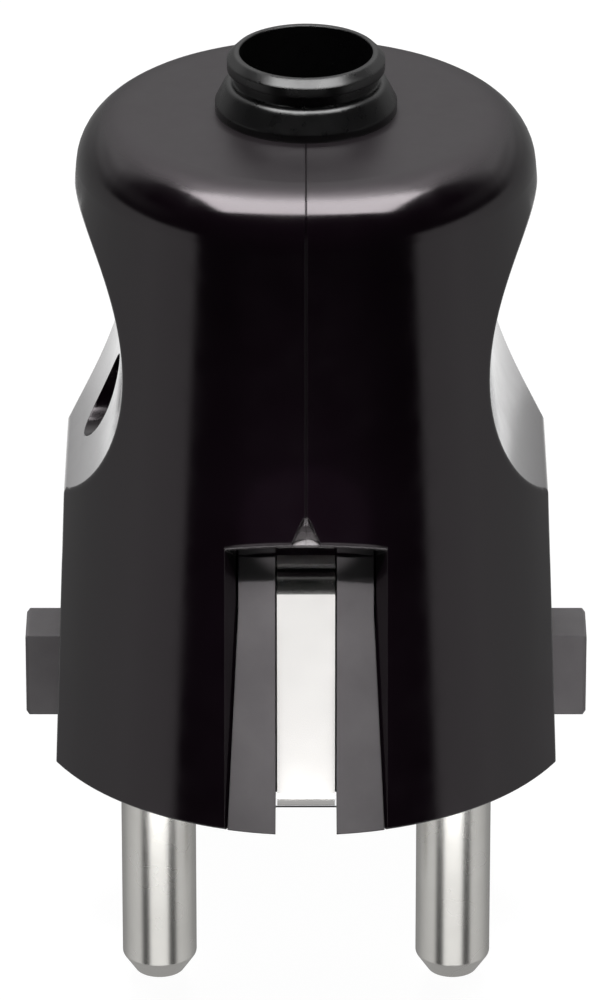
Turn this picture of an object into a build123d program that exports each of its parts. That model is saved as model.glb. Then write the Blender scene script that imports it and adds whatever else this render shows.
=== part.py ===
from build123d import *
from math import radians, tan
import os

os.makedirs("parts", exist_ok=True)

# Earthed two-pin mains plug, standing on its pins with the cord entry on top.
# Millimetres. Z = 0 is the engagement face, +Z runs up to the cord, X joins the two pins, -Y is the front.

# Contact pins
pin_spacing = 19.0
pin_diameter = 4.8
pin_length = 19.0
pin_tip_height = 1.2
pin_tip_diameter = 3.2
pin_floor = 4.0
pin_groove_height = 0.5
pin_groove_diameter = 4.3
pin_head_diameter = 6.0
pin_head_top = 15.6
core_hole_diameter = 2.6
core_hole_depth = 5.0

# Housing: a tapered round body with side flats and a finger scoop on each side
base_diameter = 35.4
base_width = 31.6
flat_draft = 2.0
crown_diameter = 28.0
crown_rise = 0.45
housing_height = 41.7
shoulder_radius = 3.6
waist_width = 22.7
waist_height = 27.8
scoop_radius = 14.7
edge_radius = 0.7
rim_chamfer = 0.15
wall = 1.8
seam_width = 0.08
seam_depth = 0.05

# Front and back windows of the housing, which the carrier's earth walls fill
window_width = 11.2
window_height = 19.3
window_splay = 35.0
window_edge = 0.5
window_gap = 0.15
notch_width = 1.8
notch_height = 2.3

# Guide lugs on the sides
lug_width = 4.0
lug_bottom = 0.4
lug_top = 6.0
lug_span = 35.7
lug_chamfer = 0.2

# Contact carrier
fit_gap = 0.15
block_height = 10.6
rib_bottom = 7.2
rib_height = 1.6
rib_depth = 1.0
rib_half_width = 8.8
earth_wall_inset = 0.1
earth_wall_recess = 1.6
earth_wall_depth = 5.6
slot_width = 3.8
bridge_web_width = 7.0

# Earth strip
strip_thickness = 0.8
strip_width = 3.6
strip_span = 29.4
strip_bend = 1.0
strip_top = 16.7
strip_hook = 2.6
strip_gap = 0.05
earth_pad = 7.0
earth_terminal_y = -6.5

# Terminal screws
screw_slot_width = 0.8
screw_slot_depth = 0.8
thread_gap = 0.05
terminal_thread = 3.0
terminal_head_diameter = 4.4
terminal_head_height = 1.6
terminal_head_gap = 0.6
terminal_screw_drop = 2.5
earth_thread = 3.0
earth_head_diameter = 5.4
earth_head_height = 1.8
earth_screw_length = 5.0
earth_washer_size = 6.4
earth_washer_thickness = 1.0

# Housing screw, across the waist from the left scoop
housing_screw_height = 22.0
housing_thread = 3.0
housing_head_diameter = 4.6
housing_head_height = 1.8
housing_head_sink = 2.6
housing_pocket_diameter = 5.2
housing_screw_reach = 7.2
boss_wall = 1.0
spigot_diameter = 5.0
spigot_length = 1.0

# Cord tongue and clamp
cord_diameter = 8.0
cord_gap = 0.3
tongue_width = 16.0
tongue_thickness = 2.4
tongue_rise = 0.9
clamp_headroom = 3.15
clamp_tall = 5.0
clamp_width = 17.2
clamp_thickness = 3.2
clamp_wrap = 1.4
clamp_screw_spacing = 12.6
clamp_thread = 2.6
clamp_head_diameter = 4.2
clamp_head_height = 1.5

# Cord gland
gland_bore = 8.3
gland_neck = 10.2
gland_collar = 11.3
gland_flange = 12.2
gland_flange_thickness = 2.2
gland_collar_height = 0.5
gland_cone = 9.9
gland_cone_height = 1.4
gland_cone_round = 0.5
gland_groove = 9.0
gland_groove_height = 0.8
gland_lip = 9.8
gland_lip_height = 1.05
gland_lip_chamfer = 0.45
gland_gap = 0.05

# Places that follow from the sizes above
pin_x = pin_spacing / 2
reach = base_diameter
strip_face = strip_span / 2
strip_floor = strip_face - strip_thickness
bridge_floor = strip_top - strip_thickness
earth_wall_top = window_height - 2 * window_gap
window_floor = base_diameter / 2 - earth_wall_depth
window_throat = wall * tan(radians(window_splay))
side_slope = (base_diameter - crown_diameter) / 2 / (housing_height - crown_rise)
tongue_front = cord_diameter / 2 + cord_gap
clamp_front = tongue_front - clamp_wrap + clamp_thickness
scoop_x = waist_width / 2 + scoop_radius
boss_radius = housing_pocket_diameter / 2 + boss_wall
roof = housing_height - wall
gland_floor = roof - gland_gap - gland_flange_thickness
clamp_height = gland_floor - clamp_headroom - clamp_tall / 2
tongue_top = clamp_height + clamp_tall / 2 + tongue_rise
terminal_screw_height = pin_head_top - terminal_screw_drop
gland_seat_diameter = gland_flange + 2 * fit_gap
scoop_face = scoop_x - (scoop_radius**2 - (housing_screw_height - waist_height) ** 2) ** 0.5
housing_head_floor = scoop_face - housing_head_sink


# The body's profile stands here, between a window and a scoop, so that its joint meets no edge of theirs
clear_out = Vector(1, 0, 0).rotate(Axis.Z, 57)
clear_plane = Plane(origin=(0, 0, 0), x_dir=clear_out, z_dir=clear_out.cross(Vector(0, 0, 1)))


def side_radius(height):
    # Radius of the tapered body at a height, before the shoulder rounds it off
    return base_diameter / 2 - height * side_slope


def body_form(inset, floor):
    # The outer form of the plug taken in by inset on every side, with its foot at floor
    corner = housing_height - crown_rise - inset
    top = housing_height - inset
    slope = tan(radians(flat_draft))
    with BuildPart() as form:
        with BuildSketch(clear_plane) as half:
            with BuildLine():
                Polyline(
                    (0, floor),
                    (side_radius(floor) - inset, floor),
                    (side_radius(corner) - inset, corner),
                    (gland_seat_diameter / 2, top),
                    (0, top),
                    close=True,
                )
            make_face()
            fillet(half.vertices().sort_by(Axis.Y)[2], shoulder_radius - inset)
        revolve(axis=Axis.Z)
        with BuildSketch(Plane.XZ):
            for side in (1, -1):
                with BuildLine():
                    Polyline(
                        (side * (base_width / 2 - inset + wall * slope), -wall),
                        (side * reach, -wall),
                        (side * reach, housing_height),
                        (side * (base_width / 2 - inset - housing_height * slope), housing_height),
                        close=True,
                    )
                make_face()
                with Locations((side * scoop_x, waist_height)):
                    Circle(scoop_radius + inset)
        extrude(amount=reach, both=True, mode=Mode.SUBTRACT)
        if inset == 0:
            sides = form.edges(Select.LAST).filter_by_position(Axis.Z, edge_radius, housing_height)
            fillet(sides, edge_radius)
            with BuildSketch(Plane.YZ):
                with BuildLine():
                    Polyline(
                        (0, 0),
                        (base_diameter / 2 - rim_chamfer, 0),
                        (base_diameter / 2 - rim_chamfer + housing_height, housing_height),
                        (0, housing_height),
                        close=True,
                    )
                make_face()
            revolve(axis=Axis.Z, mode=Mode.INTERSECT)
            with BuildSketch(Plane.XZ):
                with BuildLine():
                    Polyline(
                        (base_width / 2 - rim_chamfer, 0),
                        (base_width / 2 - rim_chamfer + housing_height, housing_height),
                        (-base_width / 2 + rim_chamfer - housing_height, housing_height),
                        (-base_width / 2 + rim_chamfer, 0),
                        close=True,
                    )
                make_face()
            extrude(amount=reach, both=True, mode=Mode.INTERSECT)
    return form.part


def window_form(side, gap):
    # One window taken in by gap: splayed through the wall, straight behind it
    foot = (0, -side * base_diameter / 2, 0)
    face = Plane(origin=foot, x_dir=(-side, 0, 0), z_dir=(0, side, -side_slope))
    half_width = window_width / 2 - gap
    head = window_height - gap
    with BuildPart() as form:
        with BuildSketch(Plane(origin=foot, x_dir=face.x_dir, z_dir=-face.y_dir)):
            with BuildLine():
                Polyline(
                    (-half_width - window_throat, -wall),
                    (half_width + window_throat, -wall),
                    (half_width - window_throat, wall),
                    (half_width - window_throat, earth_wall_depth),
                    (window_throat - half_width, earth_wall_depth),
                    (window_throat - half_width, wall),
                    close=True,
                )
            make_face()
        extrude(amount=reach, both=True)
        with BuildSketch(Plane(origin=foot, x_dir=face.z_dir, z_dir=-face.x_dir)):
            with BuildLine():
                Polyline(
                    (-wall, -earth_wall_depth),
                    (-wall, head + window_throat),
                    (wall, head - window_throat),
                    (earth_wall_depth, head - window_throat),
                    (earth_wall_depth, -earth_wall_depth),
                    close=True,
                )
            make_face()
        extrude(amount=reach, both=True, mode=Mode.INTERSECT)
    return form.part


def slotted_screw(place, head_diameter, head_height, thread, length):
    # A cheese head screw: the head stands on the plane, the shank runs back through it
    along = Axis(place.origin, place.z_dir)
    with BuildPart() as screw:
        with BuildSketch(place):
            Circle(head_diameter / 2)
        extrude(amount=head_height)
        chamfer(screw.faces().sort_by(along)[-1].edges(), head_height / 6)
        with BuildSketch(place.offset(head_height)):
            Rectangle(screw_slot_width, 2 * head_diameter)
        extrude(amount=-screw_slot_depth, mode=Mode.SUBTRACT)
        with BuildSketch(place):
            Circle(thread / 2)
        extrude(amount=-length)
        chamfer(screw.faces().sort_by(along)[0].edges(), thread / 8)
    return screw.part


def strip_path(thickness, width):
    # The earth strip's bent section: hook, leg, bridge, leg, hook
    middle = strip_face - strip_thickness / 2
    low = strip_thickness / 2
    high = strip_top - strip_thickness / 2
    with BuildPart() as strip:
        with BuildSketch(Plane.YZ):
            with BuildLine():
                FilletPolyline(
                    (-middle + strip_hook, low),
                    (-middle, low),
                    (-middle, high),
                    (middle, high),
                    (middle, low),
                    (middle - strip_hook, low),
                    radius=strip_bend,
                )
            trace(line_width=thickness)
        extrude(amount=width / 2, both=True)
    return strip.part


# Rib segments inside the housing that hold the carrier's block
with BuildPart() as ribs:
    add(body_form(wall / 2, -wall))
    add(body_form(wall + rib_depth, -wall), mode=Mode.SUBTRACT)
    with BuildSketch(Plane.XY.offset(rib_bottom)):
        Rectangle(2 * rib_half_width, 2 * reach)
        Rectangle(window_width, 2 * reach, mode=Mode.SUBTRACT)
    extrude(amount=rib_height, mode=Mode.INTERSECT)

# Screw boss across the waist, kept inside the outer form
with BuildPart() as boss:
    with BuildSketch(Plane.YZ):
        with Locations((0, housing_screw_height)):
            Circle(boss_radius)
    extrude(amount=base_width, both=True)
    add(body_form(wall / 2, -wall), mode=Mode.INTERSECT)

# Shallow groove that marks the seam
with BuildPart() as seam_groove:
    with BuildSketch(Plane.XY):
        Rectangle(seam_width, 2 * reach)
    extrude(amount=2 * housing_height)
    add(body_form(seam_depth, -wall), mode=Mode.SUBTRACT)

# The whole housing before it is parted along the middle
with BuildPart() as shell:
    add(body_form(0, 0))
    for side in (1, -1):
        add(window_form(side, 0), mode=Mode.SUBTRACT)
        lip = shell.edges(Select.LAST).filter_by(lambda edge: edge.center().Z > window_height - edge_radius)
        fillet(lip.sort_by(Axis.Y)[0 if side == 1 else -1], window_edge)
    add(body_form(wall, -wall), mode=Mode.SUBTRACT)
    add(seam_groove.part, mode=Mode.SUBTRACT)
    add(ribs.part)
    add(boss.part)
    with BuildSketch(Plane.YZ):
        with Locations((0, (lug_top + window_gap - wall) / 2)):
            Rectangle(lug_width + 2 * window_gap, lug_top + window_gap + wall)
    extrude(amount=reach, both=True, mode=Mode.SUBTRACT)
    with BuildSketch(Plane.XY.offset(roof - wall)):
        Circle(gland_neck / 2 + gland_gap)
    extrude(amount=3 * wall, mode=Mode.SUBTRACT)

# Prising notches over the windows, where the seam ends
with BuildPart() as notches:
    lip_radius = side_radius(window_height)
    with Locations((0, -lip_radius, window_height), (0, lip_radius, window_height)):
        Cone(notch_width / 2, 0, notch_height, align=(Align.CENTER, Align.CENTER, Align.MIN))

# Left half, which takes the screw head
with BuildPart() as housing_left:
    add(shell.part)
    split(bisect_by=Plane.YZ, keep=Keep.BOTTOM)
    add(notches.part, mode=Mode.SUBTRACT)
    with BuildSketch(Plane.YZ):
        with Locations((0, housing_screw_height)):
            Circle(spigot_diameter / 2)
    extrude(amount=spigot_length)
    with BuildSketch(Plane.YZ.offset(spigot_length)):
        with Locations((0, housing_screw_height)):
            Circle(housing_thread / 2 + thread_gap)
    extrude(amount=-base_width, mode=Mode.SUBTRACT)
    with BuildSketch(Plane.YZ.offset(-housing_head_floor)):
        with Locations((0, housing_screw_height)):
            Circle(housing_pocket_diameter / 2)
    extrude(amount=-base_width, mode=Mode.SUBTRACT)
housing_left.part.label = "housing_left"
export_step(housing_left.part, "parts/housing_left.step")

# Right half, which takes the screw thread
with BuildPart() as housing_right:
    add(shell.part)
    split(bisect_by=Plane.YZ, keep=Keep.TOP)
    add(notches.part, mode=Mode.SUBTRACT)
    with BuildSketch(Plane.YZ):
        with Locations((0, housing_screw_height)):
            Circle(spigot_diameter / 2 + thread_gap)
    extrude(amount=spigot_length + fit_gap, mode=Mode.SUBTRACT)
    with BuildSketch(Plane.YZ):
        with Locations((0, housing_screw_height)):
            Circle(housing_thread / 2 + thread_gap)
    extrude(amount=housing_screw_reach + housing_thread / 4, mode=Mode.SUBTRACT)
housing_right.part.label = "housing_right"
export_step(housing_right.part, "parts/housing_right.step")

# Groove that the housing's ribs run in
with BuildPart() as rib_groove:
    with BuildSketch(Plane.XY.offset(rib_bottom - fit_gap)):
        Rectangle(2 * rib_half_width + 2 * fit_gap, 2 * reach)
    extrude(amount=rib_height + 2 * fit_gap)
    add(body_form(wall + rib_depth + fit_gap, -wall), mode=Mode.SUBTRACT)

# What the earth walls take up of the windows
with BuildPart() as window_fill:
    for side in (1, -1):
        add(window_form(side, window_gap))

# Slotted earth walls that fill the windows, flush at the foot and set back at the top
with BuildPart() as earth_walls:
    with BuildSketch(Plane.XZ):
        with BuildLine():
            Polyline(
                (0, 0),
                (base_diameter / 2 - earth_wall_inset, 0),
                (side_radius(earth_wall_top) - earth_wall_recess, earth_wall_top),
                (0, earth_wall_top),
                close=True,
            )
        make_face()
    revolve(axis=Axis.Z)
    add(window_fill.part, mode=Mode.INTERSECT)

# Guide lugs, one bar through the block
with BuildPart() as lugs:
    with BuildSketch(Plane.YZ):
        with Locations((0, (lug_top + lug_bottom) / 2)):
            Rectangle(lug_width, lug_top - lug_bottom)
    extrude(amount=lug_span / 2, both=True)
    chamfer(lugs.faces().filter_by(Axis.X).edges(), lug_chamfer)

# Web under the earth bridge and the two prongs that carry the cord
with BuildPart() as uprights:
    with BuildSketch(Plane.XY.offset(block_height / 2)):
        Rectangle(bridge_web_width, 2 * strip_floor)
    extrude(amount=bridge_floor - block_height / 2)
    with BuildSketch(Plane.XY.offset(block_height / 2)):
        with Locations((0, tongue_front + tongue_thickness / 2)):
            Rectangle(tongue_width, tongue_thickness)
    extrude(amount=tongue_top - block_height / 2)
    add(body_form(wall + fit_gap, 0), mode=Mode.INTERSECT)

with BuildPart() as contact_carrier:
    add(body_form(wall + fit_gap, 0))
    split(bisect_by=Plane.XY.offset(block_height), keep=Keep.BOTTOM)
    add(rib_groove.part, mode=Mode.SUBTRACT)
    add(uprights.part)
    add(earth_walls.part)
    add(lugs.part)
    for side in (1, -1):
        with BuildSketch(Plane.XZ.offset(side * strip_floor)):
            with Locations((0, earth_wall_top / 2)):
                Rectangle(slot_width, 2 * earth_wall_top)
        extrude(amount=side * reach, mode=Mode.SUBTRACT)
    with BuildSketch(Plane.XY.offset(bridge_floor)):
        Rectangle(slot_width, 2 * reach)
        with Locations((0, earth_terminal_y)):
            Rectangle(earth_pad + 2 * fit_gap, earth_pad + 2 * fit_gap)
    extrude(amount=housing_height, mode=Mode.SUBTRACT)
    add(strip_path(strip_thickness + 2 * strip_gap, slot_width), mode=Mode.SUBTRACT)
    with BuildSketch(Plane.XY):
        with Locations((pin_x, 0), (-pin_x, 0)):
            Circle(pin_diameter / 2 + thread_gap)
    extrude(amount=housing_height, mode=Mode.SUBTRACT)
    with BuildSketch(Plane.XY.offset(pin_floor)):
        with Locations((pin_x, 0), (-pin_x, 0)):
            Circle(pin_head_diameter / 2 + thread_gap)
    extrude(amount=housing_height, mode=Mode.SUBTRACT)
    with BuildSketch(Plane.XY.offset(bridge_floor - earth_screw_length)):
        with Locations((0, earth_terminal_y)):
            Circle(earth_thread / 2 + 2 * thread_gap)
    extrude(amount=housing_height, mode=Mode.SUBTRACT)
    with BuildSketch(Plane.XZ):
        with Locations((clamp_screw_spacing / 2, clamp_height), (-clamp_screw_spacing / 2, clamp_height)):
            Circle(clamp_thread / 2 + thread_gap)
    extrude(amount=-reach, mode=Mode.SUBTRACT)
contact_carrier.part.label = "contact_carrier"
export_step(contact_carrier.part, "parts/contact_carrier.step")


def contact_pin(side):
    # Round pin: tapered tip, relief groove at the face, shoulder on the carrier, terminal on top
    place = Plane(origin=(side * pin_x, 0, 0), x_dir=(1, 0, 0), z_dir=(0, -1, 0))
    with BuildPart() as pin:
        with BuildSketch(place) as half:
            with BuildLine():
                Polyline(
                    (0, -pin_length),
                    (pin_tip_diameter / 2, -pin_length),
                    (pin_diameter / 2, -pin_length + pin_tip_height),
                    (pin_diameter / 2, 0),
                    (pin_groove_diameter / 2, 0),
                    (pin_groove_diameter / 2, pin_groove_height),
                    (pin_diameter / 2, pin_groove_height),
                    (pin_diameter / 2, pin_floor),
                    (pin_head_diameter / 2, pin_floor),
                    (pin_head_diameter / 2, pin_head_top),
                    (0, pin_head_top),
                    close=True,
                )
            make_face()
            tip = half.vertices().sort_by(Axis.Y)[1:3]
            fillet(tip.sort_by(Axis.X)[-1], pin_tip_height / 3)
        revolve(axis=Axis(place.origin, (0, 0, 1)))
        with BuildSketch(Plane.XY.offset(pin_head_top)):
            with Locations((side * pin_x, 0)):
                Circle(core_hole_diameter / 2)
        extrude(amount=-core_hole_depth, mode=Mode.SUBTRACT)
        with BuildSketch(Plane.XZ):
            with Locations((side * pin_x, terminal_screw_height)):
                Circle(terminal_thread / 2 + thread_gap)
        extrude(amount=reach, mode=Mode.SUBTRACT)
    return pin.part


with BuildPart() as contact_pin_left:
    add(contact_pin(-1))
contact_pin_left.part.label = "contact_pin_left"
export_step(contact_pin_left.part, "parts/contact_pin_left.step")

with BuildPart() as contact_pin_right:
    add(contact_pin(1))
contact_pin_right.part.label = "contact_pin_right"
export_step(contact_pin_right.part, "parts/contact_pin_right.step")


def terminal_screw(side):
    # Screw that presses a core against the back of its terminal
    seat = pin_head_diameter / 2 + terminal_head_gap
    place = Plane(origin=(side * pin_x, -seat, terminal_screw_height), x_dir=(1, 0, 0), z_dir=(0, -1, 0))
    length = seat - thread_gap
    return slotted_screw(place, terminal_head_diameter, terminal_head_height, terminal_thread, length)


with BuildPart() as terminal_screw_left:
    add(terminal_screw(-1))
terminal_screw_left.part.label = "terminal_screw_left"
export_step(terminal_screw_left.part, "parts/terminal_screw_left.step")

with BuildPart() as terminal_screw_right:
    add(terminal_screw(1))
terminal_screw_right.part.label = "terminal_screw_right"
export_step(terminal_screw_right.part, "parts/terminal_screw_right.step")

# Earth strip with its terminal pad
with BuildPart() as earth_strip:
    add(strip_path(strip_thickness, strip_width))
    with BuildSketch(Plane.XY.offset(bridge_floor)):
        with Locations((0, earth_terminal_y)):
            RectangleRounded(earth_pad, earth_pad, strip_thickness)
    extrude(amount=strip_thickness)
    with BuildSketch(Plane.XY.offset(bridge_floor)):
        with Locations((0, earth_terminal_y)):
            Circle(earth_thread / 2 + thread_gap)
    extrude(amount=strip_thickness, mode=Mode.SUBTRACT)
earth_strip.part.label = "earth_strip"
export_step(earth_strip.part, "parts/earth_strip.step")

# Square washer that clamps the earth core
with BuildPart() as earth_terminal_washer:
    with BuildSketch(Plane.XY.offset(strip_top)):
        with Locations((0, earth_terminal_y)):
            RectangleRounded(earth_washer_size, earth_washer_size, earth_washer_thickness / 2)
            Circle(earth_thread / 2 + 2 * thread_gap, mode=Mode.SUBTRACT)
    extrude(amount=earth_washer_thickness)
earth_terminal_washer.part.label = "earth_terminal_washer"
export_step(earth_terminal_washer.part, "parts/earth_terminal_washer.step")

with BuildPart() as earth_terminal_screw:
    seat = Plane.XY.offset(strip_top + earth_washer_thickness).move(Location((0, earth_terminal_y, 0)))
    add(slotted_screw(seat, earth_head_diameter, earth_head_height, earth_thread, earth_screw_length))
earth_terminal_screw.part.label = "earth_terminal_screw"
export_step(earth_terminal_screw.part, "parts/earth_terminal_screw.step")

# Saddle that presses the cord on the prongs
with BuildPart() as cord_clamp:
    with BuildSketch(Plane.XY.offset(clamp_height - clamp_tall / 2)):
        with Locations((0, -clamp_front + clamp_thickness / 2)):
            RectangleRounded(clamp_width, clamp_thickness, clamp_thickness / 4)
        Circle(cord_diameter / 2 + cord_gap, mode=Mode.SUBTRACT)
    extrude(amount=clamp_tall)
    with BuildSketch(Plane.XZ):
        with Locations((clamp_screw_spacing / 2, clamp_height), (-clamp_screw_spacing / 2, clamp_height)):
            Circle(clamp_thread / 2 + 2 * thread_gap)
    extrude(amount=reach, mode=Mode.SUBTRACT)
cord_clamp.part.label = "cord_clamp"
export_step(cord_clamp.part, "parts/cord_clamp.step")


def clamp_screw(side):
    # Screw from the saddle's face into one prong
    seat = (side * clamp_screw_spacing / 2, -clamp_front, clamp_height)
    place = Plane(origin=seat, x_dir=(1, 0, 0), z_dir=(0, -1, 0))
    length = clamp_front + tongue_front + tongue_thickness
    return slotted_screw(place, clamp_head_diameter, clamp_head_height, clamp_thread, length)


with BuildPart() as cord_clamp_screw_left:
    add(clamp_screw(-1))
cord_clamp_screw_left.part.label = "cord_clamp_screw_left"
export_step(cord_clamp_screw_left.part, "parts/cord_clamp_screw_left.step")

with BuildPart() as cord_clamp_screw_right:
    add(clamp_screw(1))
cord_clamp_screw_right.part.label = "cord_clamp_screw_right"
export_step(cord_clamp_screw_right.part, "parts/cord_clamp_screw_right.step")

# Screw that closes the two halves
with BuildPart() as housing_screw:
    seat = Plane(origin=(-housing_head_floor, 0, housing_screw_height), x_dir=(0, 1, 0), z_dir=(-1, 0, 0))
    length = housing_head_floor + housing_screw_reach
    add(slotted_screw(seat, housing_head_diameter, housing_head_height, housing_thread, length))
housing_screw.part.label = "housing_screw"
export_step(housing_screw.part, "parts/housing_screw.step")

# Gland bush: flange under the roof, neck through it, collar, cone, groove and lip above
with BuildPart() as cord_gland:
    collar_top = housing_height + gland_collar_height
    cone_top = collar_top + gland_cone_height
    groove_top = cone_top + gland_groove_height
    lip_top = groove_top + gland_lip_height
    with BuildSketch(Plane.XZ) as half:
        with BuildLine():
            Polyline(
                (gland_bore / 2, gland_floor),
                (gland_flange / 2, gland_floor),
                (gland_flange / 2, roof - gland_gap),
                (gland_neck / 2, roof - gland_gap),
                (gland_neck / 2, housing_height),
                (gland_collar / 2, housing_height),
                (gland_collar / 2, collar_top),
                (gland_cone / 2, cone_top),
                (gland_groove / 2, cone_top),
                (gland_groove / 2, groove_top),
                (gland_lip / 2, groove_top),
                (gland_lip / 2, lip_top),
                (gland_bore / 2, lip_top),
                close=True,
            )
        make_face()
        crest = half.vertices().sort_by(Axis.Y)[-2:].sort_by(Axis.X)[-1]
        brow = half.vertices().group_by(Axis.Y)[4].sort_by(Axis.X)[-1]
        chamfer(crest, gland_lip_chamfer)
        fillet(brow, gland_cone_round)
    revolve(axis=Axis.Z)
cord_gland.part.label = "cord_gland"
export_step(cord_gland.part, "parts/cord_gland.step")
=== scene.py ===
import math

import bpy
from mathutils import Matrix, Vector


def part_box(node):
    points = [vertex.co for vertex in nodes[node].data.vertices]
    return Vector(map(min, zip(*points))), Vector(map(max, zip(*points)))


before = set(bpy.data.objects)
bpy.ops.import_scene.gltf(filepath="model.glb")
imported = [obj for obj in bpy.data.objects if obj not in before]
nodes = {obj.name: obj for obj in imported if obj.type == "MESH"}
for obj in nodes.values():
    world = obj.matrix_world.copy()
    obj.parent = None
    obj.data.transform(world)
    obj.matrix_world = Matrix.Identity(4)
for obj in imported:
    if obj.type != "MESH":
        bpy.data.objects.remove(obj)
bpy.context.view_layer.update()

# The plug stands on its pin tips, so the floor lies one pin length under the engagement face
floor_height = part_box("contact_pin_left")[0].z
floor_radius = 6.0
floor_corners = 96
floor_glow = 0.97

# Noise values between which a finish goes from its dark to its light colour, and rays for its worn edges
cloud_low = 0.3
cloud_high = 0.7
worn_edge_samples = 4

# Crown of the housing, around the gland
crown_edge = 0.0406
crown_top = 0.0411
crown_dulling = 0.26

# Prising notch of the housing, over each window, and the painted highlight at its foot
notch_foot = 0.0193
notch_rise = 0.0023
notch_reach = 0.0009
# Height, edge, colour and roughness of the painted highlight: a lighter patch in the notch's foot that stands
# in for light caught there
painted_highlight_rise = 0.0016
painted_highlight_edge = 0.0003
painted_highlight_colour = (0.28, 0.265, 0.27, 1.0)
painted_highlight_roughness = 0.6

# Studio brightness by degrees of turn, 0 in front and 180 behind, one row for each band of height
steep_levels = ((0, 0.35), (180, 0.35))
card_levels = ((0, 1.28), (27, 1.28), (32, 0.0), (53, 0.0), (56, 0.66), (110, 0.42), (126, 0.30), (180, 0.22))
panel_levels = ((0, 0.0), (53, 0.0), (56, 0.66), (80, 0.66), (110, 0.42), (135, 0.28), (180, 0.22))
sheet_levels = ((0, 0.0), (62, 0.0), (105, 0.05), (122, 0.32), (180, 0.32))
backdrop_levels = ((0, 0.0), (66, 0.0), (105, 0.15), (122, 0.55), (180, 0.55))
upper_levels = ((0, 0.0), (92, 0.0), (108, 0.12), (126, 1.0), (180, 1.0))
ceiling_levels = ((0, 0.25), (180, 0.6))
brightest_level = 4.0
half_turn = 180.0

# Bands above the steep one, with the sines of the heights where each begins and where it is whole
studio_bands = (
    (card_levels, -0.66, -0.60),
    (panel_levels, -0.42, -0.37),
    (sheet_levels, -0.04, 0.06),
    (backdrop_levels, 0.10, 0.28),
    (upper_levels, 0.32, 0.50),
    (ceiling_levels, 0.80, 0.90),
)

# Guards that keep the turn defined straight up and straight ahead
least_reach = 0.0001
turn_guard = -0.99999

# Floor cards and narrow spots
card_lift = 0.0005
spot_distance = 0.49
spot_softness = 0.25

# Camera at the photograph's angle
camera_eye = Vector((0.0, -0.4887, 0.2523))
camera_aim = Vector((0.00003, 0.00605, 0.0117))
camera_lens = 308.9
camera_sensor = 36.0
camera_near = 0.01
camera_far = 20.0


def clear_selection():
    bpy.ops.object.select_all(action="DESELECT")


# Steps that the finishes and the studio are made of

def start_finish(name):
    finish = bpy.data.materials.new(name)
    finish.use_nodes = True
    tree = finish.node_tree
    shader = tree.nodes["Principled BSDF"]
    place = tree.nodes.new("ShaderNodeTexCoord")
    return finish, tree, shader, place.outputs["Object"]


def split_place(tree, place):
    split = tree.nodes.new("ShaderNodeSeparateXYZ")
    tree.links.new(place, split.inputs["Vector"])
    return split.outputs


def stretched(tree, place, scale):
    mapping = tree.nodes.new("ShaderNodeMapping")
    mapping.inputs["Scale"].default_value = scale
    tree.links.new(place, mapping.inputs["Vector"])
    return mapping.outputs["Vector"]


def mottle(tree, place, scale, detail=3.0, roughness=0.5):
    noise = tree.nodes.new("ShaderNodeTexNoise")
    noise.inputs["Scale"].default_value = scale
    noise.inputs["Detail"].default_value = detail
    noise.inputs["Roughness"].default_value = roughness
    tree.links.new(place, noise.inputs["Vector"])
    return noise.outputs["Fac"]


def spread(tree, value, low, high, from_low=0.0, from_high=1.0, smooth=False):
    ranged = tree.nodes.new("ShaderNodeMapRange")
    if smooth:
        ranged.interpolation_type = "SMOOTHSTEP"
    ranged.inputs["From Min"].default_value = from_low
    ranged.inputs["From Max"].default_value = from_high
    ranged.inputs["To Min"].default_value = low
    ranged.inputs["To Max"].default_value = high
    tree.links.new(value, ranged.inputs["Value"])
    return ranged.outputs["Result"]


def tint(tree, value, dark, light):
    ramp = tree.nodes.new("ShaderNodeValToRGB")
    ramp.color_ramp.elements[0].position = cloud_low
    ramp.color_ramp.elements[0].color = (*dark, 1.0)
    ramp.color_ramp.elements[1].position = cloud_high
    ramp.color_ramp.elements[1].color = (*light, 1.0)
    tree.links.new(value, ramp.inputs["Fac"])
    return ramp.outputs["Color"]


def relief(tree, height, distance, strength, under=None):
    bump = tree.nodes.new("ShaderNodeBump")
    bump.inputs["Distance"].default_value = distance
    bump.inputs["Strength"].default_value = strength
    tree.links.new(height, bump.inputs["Height"])
    if under is not None:
        tree.links.new(under, bump.inputs["Normal"])
    return bump.outputs["Normal"]


def worn_edge(tree, radius):
    edge = tree.nodes.new("ShaderNodeBevel")
    edge.samples = worn_edge_samples
    edge.inputs["Radius"].default_value = radius
    return edge.outputs["Normal"]


def reckon(tree, operation, first, second=None):
    sum_node = tree.nodes.new("ShaderNodeMath")
    sum_node.operation = operation
    tree.links.new(first, sum_node.inputs[0])
    if isinstance(second, bpy.types.NodeSocket):
        tree.links.new(second, sum_node.inputs[1])
    elif second is not None:
        sum_node.inputs[1].default_value = second
    return sum_node.outputs["Value"]


def blended(tree, share, under, over, kind="FLOAT"):
    mix = tree.nodes.new("ShaderNodeMix")
    mix.data_type = kind
    first, second = [socket for socket in mix.inputs if socket.enabled and socket.name in ("A", "B")]
    tree.links.new(share, mix.inputs["Factor"])
    tree.links.new(under, first)
    if isinstance(over, bpy.types.NodeSocket):
        tree.links.new(over, second)
    else:
        second.default_value = over
    return [socket for socket in mix.outputs if socket.enabled][0]


def set_colour(tree, shader, value, dark, light):
    tree.links.new(tint(tree, value, dark, light), shader.inputs["Base Color"])


def set_roughness(tree, shader, value, low, high):
    tree.links.new(spread(tree, value, low, high), shader.inputs["Roughness"])


def set_relief(tree, shader, height, distance, strength, under=None):
    tree.links.new(relief(tree, height, distance, strength, under), shader.inputs["Normal"])


# Finishes

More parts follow.
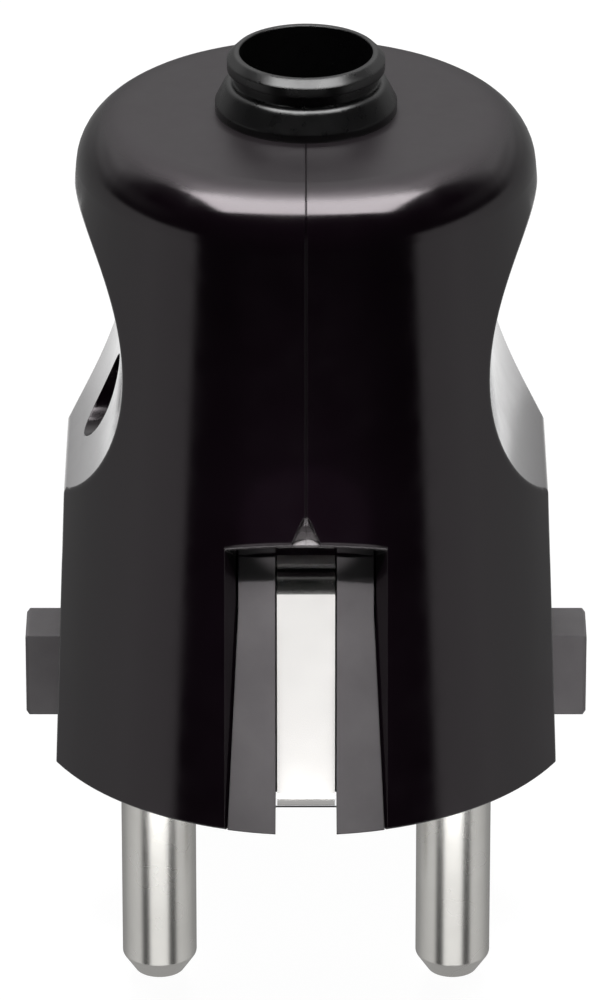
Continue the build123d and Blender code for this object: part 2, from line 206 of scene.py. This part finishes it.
def notch_painted_highlight(tree, place):
    # The prising notch is a cone that stands on the window's upper edge; a painted highlight fills it,
    # strongest at its foot
    split = split_place(tree, place)
    rise = reckon(tree, "SUBTRACT", split["Z"], notch_foot)
    reach = spread(tree, rise, low=notch_reach, high=0.0, from_high=notch_rise)
    inside = reckon(tree, "SUBTRACT", reach, reckon(tree, "ABSOLUTE", split["X"]))
    fade = spread(tree, rise, low=1.0, high=0.0, from_high=painted_highlight_rise)
    painted_highlight = reckon(tree, "MULTIPLY", spread(tree, inside, low=0.0, high=1.0, from_high=painted_highlight_edge), fade)
    painted_highlight = reckon(tree, "MULTIPLY", painted_highlight, fade)
    above_foot = spread(tree, rise, low=0.0, high=1.0, from_low=-painted_highlight_edge, from_high=0.0)
    painted_highlight = reckon(tree, "MULTIPLY", painted_highlight, above_foot)
    # Noise breaks up the painted highlight
    painted_highlight_mottle = mottle(tree, place, scale=9000.0, detail=4.0)
    grain = spread(tree, painted_highlight_mottle, low=0.6, high=1.0, from_low=0.3, from_high=0.7)
    return reckon(tree, "MULTIPLY", painted_highlight, grain)


def dulled_crown(tree, place):
    # Handling has taken some of the polish off the crown, around the gland
    height = split_place(tree, place)["Z"]
    return spread(tree, height, low=0.0, high=crown_dulling, from_low=crown_edge, from_high=crown_top)


def polished_black_moulding():
    finish, tree, shader, place = start_finish("polished_black_moulding")
    shader.inputs["IOR"].default_value = 1.5
    shader.inputs["Specular Tint"].default_value = (1.0, 0.92, 0.96, 1.0)
    # Painted highlight in the notch's foot: a lighter, rougher patch in the polished black
    painted_highlight = notch_painted_highlight(tree, place)
    cloud = mottle(tree, place, scale=180.0, detail=4.0)
    black = tint(tree, cloud, dark=(0.0045, 0.0023, 0.0040), light=(0.0056, 0.0030, 0.0051))
    tree.links.new(blended(tree, painted_highlight, black, painted_highlight_colour, "RGBA"), shader.inputs["Base Color"])
    smears = mottle(tree, place, scale=420.0, detail=6.0, roughness=0.62)
    handling = spread(tree, smears, low=0.10, high=0.18, from_low=0.3, from_high=0.75)
    handling = reckon(tree, "ADD", handling, dulled_crown(tree, place))
    tree.links.new(blended(tree, painted_highlight, handling, painted_highlight_roughness), shader.inputs["Roughness"])
    waviness = mottle(tree, place, scale=650.0, detail=2.0)
    skin = relief(tree, waviness, distance=0.000004, strength=0.25, under=worn_edge(tree, 0.00012))
    hairline = mottle(tree, stretched(tree, place, (900.0, 900.0, 22000.0)), scale=1.0, detail=2.0)
    set_relief(tree, shader, hairline, distance=0.0000004, strength=0.12, under=skin)
    return finish


def matt_carrier_moulding():
    finish, tree, shader, place = start_finish("matt_carrier_moulding")
    shader.inputs["Specular IOR Level"].default_value = 0.3
    cloud = mottle(tree, place, scale=260.0, detail=5.0)
    set_colour(tree, shader, cloud, dark=(0.112, 0.104, 0.109), light=(0.142, 0.133, 0.138))
    set_roughness(tree, shader, mottle(tree, place, scale=900.0), low=0.42, high=0.58)
    grain = mottle(tree, place, scale=5200.0, detail=2.0)
    set_relief(tree, shader, grain, distance=0.000012, strength=0.35, under=worn_edge(tree, 0.00015))
    return finish


def plated_pin_metal():
    finish, tree, shader, place = start_finish("plated_pin_metal")
    shader.inputs["Metallic"].default_value = 1.0
    cloud = mottle(tree, place, scale=300.0, detail=4.0)
    set_colour(tree, shader, cloud, dark=(0.775, 0.76, 0.725), light=(0.835, 0.82, 0.785))
    set_roughness(tree, shader, mottle(tree, place, scale=400.0, detail=2.0), low=0.25, high=0.29)
    turning = mottle(tree, stretched(tree, place, (25.0, 25.0, 2600.0)), scale=1.0, detail=1.0)
    set_relief(tree, shader, turning, distance=0.000001, strength=0.10)
    return finish


def satin_earth_metal():
    finish, tree, shader, place = start_finish("satin_earth_metal")
    shader.inputs["Metallic"].default_value = 1.0
    cloud = mottle(tree, place, scale=350.0, detail=4.0)
    set_colour(tree, shader, cloud, dark=(0.925, 0.905, 0.885), light=(0.965, 0.945, 0.925))
    set_roughness(tree, shader, mottle(tree, place, scale=400.0, detail=2.0), low=0.23, high=0.28)
    rolling = mottle(tree, stretched(tree, place, (3200.0, 60.0, 60.0)), scale=1.0, detail=1.0)
    set_relief(tree, shader, rolling, distance=0.000001, strength=0.15)
    return finish


def zinc_screw_metal():
    finish, tree, shader, place = start_finish("zinc_screw_metal")
    shader.inputs["Metallic"].default_value = 1.0
    cloud = mottle(tree, place, scale=600.0, detail=5.0)
    set_colour(tree, shader, cloud, dark=(0.50, 0.50, 0.52), light=(0.66, 0.66, 0.65))
    set_roughness(tree, shader, mottle(tree, place, scale=1500.0, detail=5.0), low=0.22, high=0.40)
    pitting = mottle(tree, place, scale=6000.0, detail=3.0)
    set_relief(tree, shader, pitting, distance=0.000006, strength=0.3, under=worn_edge(tree, 0.00012))
    return finish


def matt_clamp_moulding():
    finish, tree, shader, place = start_finish("matt_clamp_moulding")
    cloud = mottle(tree, place, scale=300.0, detail=5.0)
    set_colour(tree, shader, cloud, dark=(0.045, 0.044, 0.046), light=(0.068, 0.067, 0.068))
    set_roughness(tree, shader, mottle(tree, place, scale=1100.0), low=0.5, high=0.65)
    grain = mottle(tree, place, scale=5200.0, detail=2.0)
    set_relief(tree, shader, grain, distance=0.000012, strength=0.35, under=worn_edge(tree, 0.00015))
    return finish


def black_gland_rubber():
    finish, tree, shader, place = start_finish("black_gland_rubber")
    cloud = mottle(tree, place, scale=400.0, detail=5.0)
    set_colour(tree, shader, cloud, dark=(0.0016, 0.0015, 0.0017), light=(0.0030, 0.0028, 0.0030))
    set_roughness(tree, shader, mottle(tree, place, scale=1300.0, detail=4.0), low=0.22, high=0.36)
    skin = mottle(tree, place, scale=4200.0, detail=3.0)
    set_relief(tree, shader, skin, distance=0.000008, strength=0.3, under=worn_edge(tree, 0.00020))
    return finish


def pale_floor_paint():
    finish, tree, shader, place = start_finish("pale_floor_paint")
    cloud = mottle(tree, place, scale=6.0)
    set_colour(tree, shader, cloud, dark=(0.10, 0.10, 0.10), light=(0.12, 0.12, 0.12))
    shader.inputs["Roughness"].default_value = 0.9
    shader.inputs["Specular IOR Level"].default_value = 0.0
    shader.inputs["Emission Color"].default_value = (1.0, 1.0, 1.0, 1.0)
    shader.inputs["Emission Strength"].default_value = floor_glow
    return finish


def dress(names, finish):
    for name in names:
        mesh = nodes[name].data
        mesh.materials.clear()
        mesh.materials.append(finish)


dress(["housing_left", "housing_right"], polished_black_moulding())
dress(["contact_carrier"], matt_carrier_moulding())
dress(["contact_pin_left", "contact_pin_right"], plated_pin_metal())
dress(["earth_strip"], satin_earth_metal())
dress(["terminal_screw_left", "terminal_screw_right", "earth_terminal_screw", "earth_terminal_washer",
       "cord_clamp_screw_left", "cord_clamp_screw_right", "housing_screw"], zinc_screw_metal())
dress(["cord_clamp"], matt_clamp_moulding())
dress(["cord_gland"], black_gland_rubber())


# Floor

def lay_floor():
    clear_selection()
    bpy.ops.mesh.primitive_circle_add(vertices=floor_corners, radius=floor_radius, fill_type="NGON",
                                      location=(0.0, 0.0, floor_height))
    bpy.ops.object.transform_apply(location=True, rotation=True, scale=True)
    floor = bpy.context.object
    floor.name = "pale_floor"
    floor.data.materials.append(pale_floor_paint())
    floor.visible_glossy = False
    floor.visible_diffuse = False
    floor.visible_shadow = False


lay_floor()


# Studio: white panels low at the sides, a white sheet behind, a dark front with one low white card

def by_turn(tree, turn, levels):
    ramp = tree.nodes.new("ShaderNodeValToRGB")
    stops = ramp.color_ramp.elements
    while len(stops) < len(levels):
        stops.new(1.0)
    for stop, (degrees, level) in zip(stops, levels):
        share = level / brightest_level
        stop.position = degrees / half_turn
        stop.color = (share, share, share, 1.0)
    tree.links.new(turn, ramp.inputs["Fac"])
    return reckon(tree, "MULTIPLY", ramp.outputs["Color"], brightest_level)


def studio_world():
    world = bpy.data.worlds.new("studio")
    bpy.context.scene.world = world
    world.use_nodes = True
    tree = world.node_tree
    back = tree.nodes["Background"]
    place = tree.nodes.new("ShaderNodeTexCoord")
    split = split_place(tree, place.outputs["Generated"])

    # The turn runs from 0 in front to 1 behind
    across = reckon(tree, "MULTIPLY", split["X"], split["X"])
    along = reckon(tree, "MULTIPLY", split["Y"], split["Y"])
    reach = reckon(tree, "SQRT", reckon(tree, "ADD", across, along))
    reach = reckon(tree, "MAXIMUM", reach, least_reach)
    forward = reckon(tree, "MULTIPLY", reckon(tree, "DIVIDE", split["Y"], reach), turn_guard)
    turn = reckon(tree, "DIVIDE", reckon(tree, "ARCCOSINE", forward), math.pi)

    light = by_turn(tree, turn, steep_levels)
    for levels, begins, whole in studio_bands:
        share = spread(tree, split["Z"], 0.0, 1.0, begins, whole, smooth=True)
        light = blended(tree, share, light, by_turn(tree, turn, levels))

    # The backdrop itself is seen as plain white
    path = tree.nodes.new("ShaderNodeLightPath")
    seen = reckon(tree, "MAXIMUM", light, path.outputs["Is Camera Ray"])
    tree.links.new(seen, back.inputs["Strength"])
    back.inputs["Color"].default_value = (1.0, 1.0, 1.0, 1.0)
    world.cycles_visibility.diffuse = False


def soft_box(name, place, target, width, depth, power, glossy=True, diffuse=True):
    clear_selection()
    bpy.ops.object.light_add(type="AREA", location=place)
    lamp = bpy.context.object
    lamp.name = name
    lamp.data.shape = "RECTANGLE"
    lamp.data.size = width
    lamp.data.size_y = depth
    lamp.data.energy = power
    lamp.rotation_euler = (Vector(target) - Vector(place)).to_track_quat("-Z", "Y").to_euler()
    lamp.visible_glossy = glossy
    lamp.visible_diffuse = diffuse
    lamp.visible_camera = False


def narrow_spot(name, target, towards, cone, power, source):
    clear_selection()
    place = Vector(target) + spot_distance * Vector(towards).normalized()
    bpy.ops.object.light_add(type="SPOT", location=place)
    lamp = bpy.context.object
    lamp.name = name
    lamp.data.energy = power
    lamp.data.spot_size = math.radians(cone)
    lamp.data.spot_blend = spot_softness
    lamp.data.shadow_soft_size = source
    lamp.rotation_euler = (Vector(target) - place).to_track_quat("-Z", "Y").to_euler()
    lamp.visible_glossy = False
    lamp.visible_camera = False


studio_world()
soft_box("top_sheen", place=(0.0, -0.06, 0.43), target=(0.0, 0.0, 0.04),
         width=0.54, depth=0.27, power=5.65, diffuse=False)

# Each side has a key light, and two cards behind the plug that the finger scoop mirrors
for side, name, rear_power, inner_power in ((-1.0, "left", 0.0020, 0.0004), (1.0, "right", 0.0012, 0.0012)):
    soft_box(name + "_key", place=(side * 0.096, -0.166, 0.46), target=(0.0, 0.0, 0.01),
             width=0.06, depth=0.06, power=0.82, glossy=False)
    for card, reach, power in (("_rear_card", 0.0290, rear_power), ("_inner_card", 0.0165, inner_power)):
        soft_box(name + card, place=(side * reach, 0.042, 0.004), target=(side * 0.014, 0.0, 0.011),
                 width=0.026, depth=0.026, power=power, diffuse=False)

# Two cards flat on the floor: the foot of the earth strip mirrors both, and the window's upper edge and the
# tops of the pins mirror the second
for name, reach, width, depth, power in (("near_floor_card", -0.041, 0.06, 0.018, 0.0020),
                                         ("notch_card", -0.0305, 0.09, 0.005, 0.0075)):
    soft_box(name, place=(0.0, reach, floor_height + card_lift), target=(0.0, reach, 0.03),
             width=width, depth=depth, power=power, diffuse=False)

soft_box("rear_fill", place=(0.0, 0.47, 0.07), target=(0.0, 0.0, 0.01),
         width=0.10, depth=0.10, power=1.5, glossy=False)
narrow_spot("notch_spot", target=(0.0, -0.0165, 0.0205), towards=(0.0, -1.0, 0.0),
            cone=0.28, power=4.0, source=0.0005)
narrow_spot("window_spot", target=(0.0, -0.0150, 0.0090), towards=(-0.05, -0.342, 0.940),
            cone=2.2, power=12.6, source=0.006)
narrow_spot("left_lug_spot", target=(-0.0170, -0.002, 0.0032), towards=(-0.25, -0.97, 0.02),
            cone=1.2, power=2.4, source=0.002)
narrow_spot("right_lug_spot", target=(0.0170, -0.002, 0.0032), towards=(0.25, -0.97, 0.02),
            cone=1.2, power=5.5, source=0.002)


# Camera

def place_camera():
    clear_selection()
    bpy.ops.object.camera_add(location=camera_eye)
    camera = bpy.context.object
    camera.name = "photo_camera"
    camera.rotation_euler = (camera_aim - camera_eye).to_track_quat("-Z", "Y").to_euler()
    camera.data.sensor_fit = "VERTICAL"
    camera.data.sensor_height = camera_sensor
    camera.data.lens = camera_lens
    camera.data.clip_start = camera_near
    camera.data.clip_end = camera_far
    bpy.context.scene.camera = camera


place_camera()
bpy.context.scene.view_settings.view_transform = "Standard"
